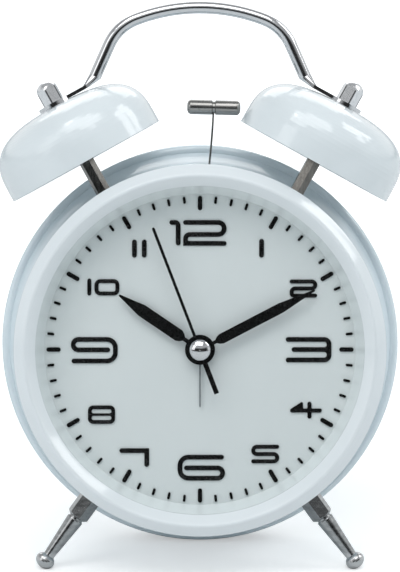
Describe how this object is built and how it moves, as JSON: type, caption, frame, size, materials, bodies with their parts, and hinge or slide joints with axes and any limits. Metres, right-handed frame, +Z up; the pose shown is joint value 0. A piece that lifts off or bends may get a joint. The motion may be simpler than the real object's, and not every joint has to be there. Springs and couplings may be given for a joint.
{
  "type": "analog alarm clock",
  "caption": "Free-standing analog twin-bell alarm clock, white case and bells, chrome rod handle, turned legs, striking hammer, quartz movement with its gear train and opening battery door",
  "frame": {"origin": "The middle of the bounding box in x and y, on the table plane that the two ball feet and the lower edge of the back cover rest on (z = 0)", "axes": "+X to the right as one reads the dial, +Y from the dial towards the back cover, +Z up from the table"},
  "size_m": [0.117, 0.074, 0.1592],
  "materials": {
    "white_paint": "gloss",
    "black_paint": "satin",
    "chrome": "polished",
    "steel": "brushed",
    "plated": "nickel plated",
    "iron": "satin",
    "grey_paint": "satin",
    "lens": "polished",
    "white_plastic": "gloss",
    "dial_card": "satin",
    "grey_plastic": "satin",
    "cream_plastic": "moulded",
    "black_plastic": "satin",
    "copper": "enamelled wire",
    "board": "solder mask",
    "cell_wrap": "printed sleeve, plain"
  },
  "bodies": {
    "clock": {"bezel": "white_paint", "glass": "lens", "reflector_ring": "white_plastic", "dial": "dial_card", "minute_track": "black_paint", "case_shell": "white_paint", "inner_frame": "grey_plastic", "back_cover": "white_plastic", "cover_screws": "plated", "battery": "cell_wrap", "contact_plus": "plated", "contact_minus": "plated", "left_bell": "white_paint", "right_bell": "white_paint", "left_post": "steel", "right_post": "steel", "post_nuts": "steel", "domed_nuts": "chrome", "handle": "chrome", "left_leg": "steel", "right_leg": "steel", "leg_nuts": "steel", "movement_front": "black_plastic", "movement_rear": "black_plastic", "movement_screws": "plated", "stator": "iron", "drive_coil": "copper", "circuit_board": "board", "quartz_crystal": "plated", "switch_body": "black_plastic", "strike_bracket": "steel", "hammer_pin": "steel", "alarm_motor": "plated"},
    "seconds": {"seconds_wheel": "cream_plastic", "second_hand": "black_paint", "centre_cap": "chrome"},
    "third": {"third_wheel": "cream_plastic"},
    "minutes": {"centre_wheel": "cream_plastic", "cannon_pinion": "cream_plastic", "minute_hand": "black_paint"},
    "motion": {"motion_wheel": "cream_plastic"},
    "hours": {"hour_wheel": "cream_plastic", "hour_hand": "black_paint"},
    "intermediate": {"intermediate_wheel": "cream_plastic"},
    "stepper_rotor": {"rotor": "cream_plastic"},
    "time_setting": {"time_arbor": "cream_plastic", "time_knob": "black_plastic"},
    "alarm_setting": {"alarm_arbor": "cream_plastic", "alarm_knob": "black_plastic"},
    "alarm_display": {"alarm_wheel": "cream_plastic", "alarm_hand": "grey_paint"},
    "hammer": {"hammer_lever": "steel", "hammer_wire": "steel", "hammer_head": "steel"},
    "cam": {"cam_wheel": "cream_plastic"},
    "motor_shaft": {"motor_pinion": "cream_plastic"},
    "door": {"battery_door": "white_plastic"},
    "switch": {"alarm_switch": "black_plastic"}
  },
  "joints": [
    {"name": "seconds_turn", "type": "hinge", "parent": "clock", "child": "seconds", "pos_m": [0, -0.0153, 0.06417], "axis": [0, 0.9768, -0.214], "continuous": true},
    {"name": "third_turn", "type": "hinge", "parent": "clock", "child": "third", "pos_m": [-0.00996, -0.01407, 0.06979], "axis": [0, 0.9768, -0.214], "continuous": true},
    {"name": "minutes_turn", "type": "hinge", "parent": "clock", "child": "minutes", "pos_m": [0, -0.0153, 0.06417], "axis": [0, 0.9768, -0.214], "continuous": true},
    {"name": "motion_turn", "type": "hinge", "parent": "clock", "child": "motion", "pos_m": [0.00432, -0.0169, 0.05687], "axis": [0, 0.9768, -0.214], "continuous": true},
    {"name": "hours_turn", "type": "hinge", "parent": "clock", "child": "hours", "pos_m": [0, -0.0153, 0.06417], "axis": [0, 0.9768, -0.214], "continuous": true},
    {"name": "intermediate_turn", "type": "hinge", "parent": "clock", "child": "intermediate", "pos_m": [0.01013, -0.01405, 0.06989], "axis": [0, 0.9768, -0.214], "continuous": true},
    {"name": "rotor_turn", "type": "hinge", "parent": "clock", "child": "stepper_rotor", "pos_m": [0.01507, -0.01344, 0.07267], "axis": [0, 0.9768, -0.214], "continuous": true},
    {"name": "time_setting_turn", "type": "hinge", "parent": "clock", "child": "time_setting", "pos_m": [0.00864, -0.0185, 0.04956], "axis": [0, 0.9768, -0.214], "continuous": true},
    {"name": "alarm_setting_turn", "type": "hinge", "parent": "clock", "child": "alarm_setting", "pos_m": [-0.00865, -0.01715, 0.05572], "axis": [0, 0.9768, -0.214], "continuous": true},
    {"name": "alarm_display_turn", "type": "hinge", "parent": "clock", "child": "alarm_display", "pos_m": [0, -0.0153, 0.06417], "axis": [0, 0.9768, -0.214], "continuous": true},
    {"name": "hammer_swing", "type": "hinge", "parent": "clock", "child": "hammer", "pos_m": [0, -0.00802, 0.09739], "axis": [0, 0.9768, -0.214], "range_deg": [-14.4, 2]},
    {"name": "cam_turn", "type": "hinge", "parent": "clock", "child": "cam", "pos_m": [0.007, -0.00963, 0.09006], "axis": [0, 0.9768, -0.214], "continuous": true},
    {"name": "motor_turn", "type": "hinge", "parent": "clock", "child": "motor_shaft", "pos_m": [0.0137, -0.00938, 0.09121], "axis": [0, 0.9768, -0.214], "continuous": true},
    {"name": "battery_door_swing", "type": "hinge", "parent": "clock", "child": "door", "pos_m": [0, 0.01538, 0.01379], "axis": [-1, 0, 0], "range_deg": [0, 90]},
    {"name": "alarm_switch_slide", "type": "slide", "parent": "clock", "child": "switch", "axis": [1, 0, 0], "range_m": [-0.0015, 0.0015]}
  ],
  "couplings": [
    {"joint": "third_turn", "follows": "seconds_turn", "ratio": -0.13333},
    {"joint": "minutes_turn", "follows": "seconds_turn", "ratio": 0.016667},
    {"joint": "motion_turn", "follows": "seconds_turn", "ratio": -0.0055556},
    {"joint": "hours_turn", "follows": "seconds_turn", "ratio": 0.0013889},
    {"joint": "intermediate_turn", "follows": "seconds_turn", "ratio": -8},
    {"joint": "rotor_turn", "follows": "seconds_turn", "ratio": 30},
    {"joint": "time_setting_turn", "follows": "seconds_turn", "ratio": 0.016667},
    {"joint": "alarm_display_turn", "follows": "alarm_setting_turn", "ratio": -0.7},
    {"joint": "motor_turn", "follows": "cam_turn", "ratio": -2.4}
  ]
}
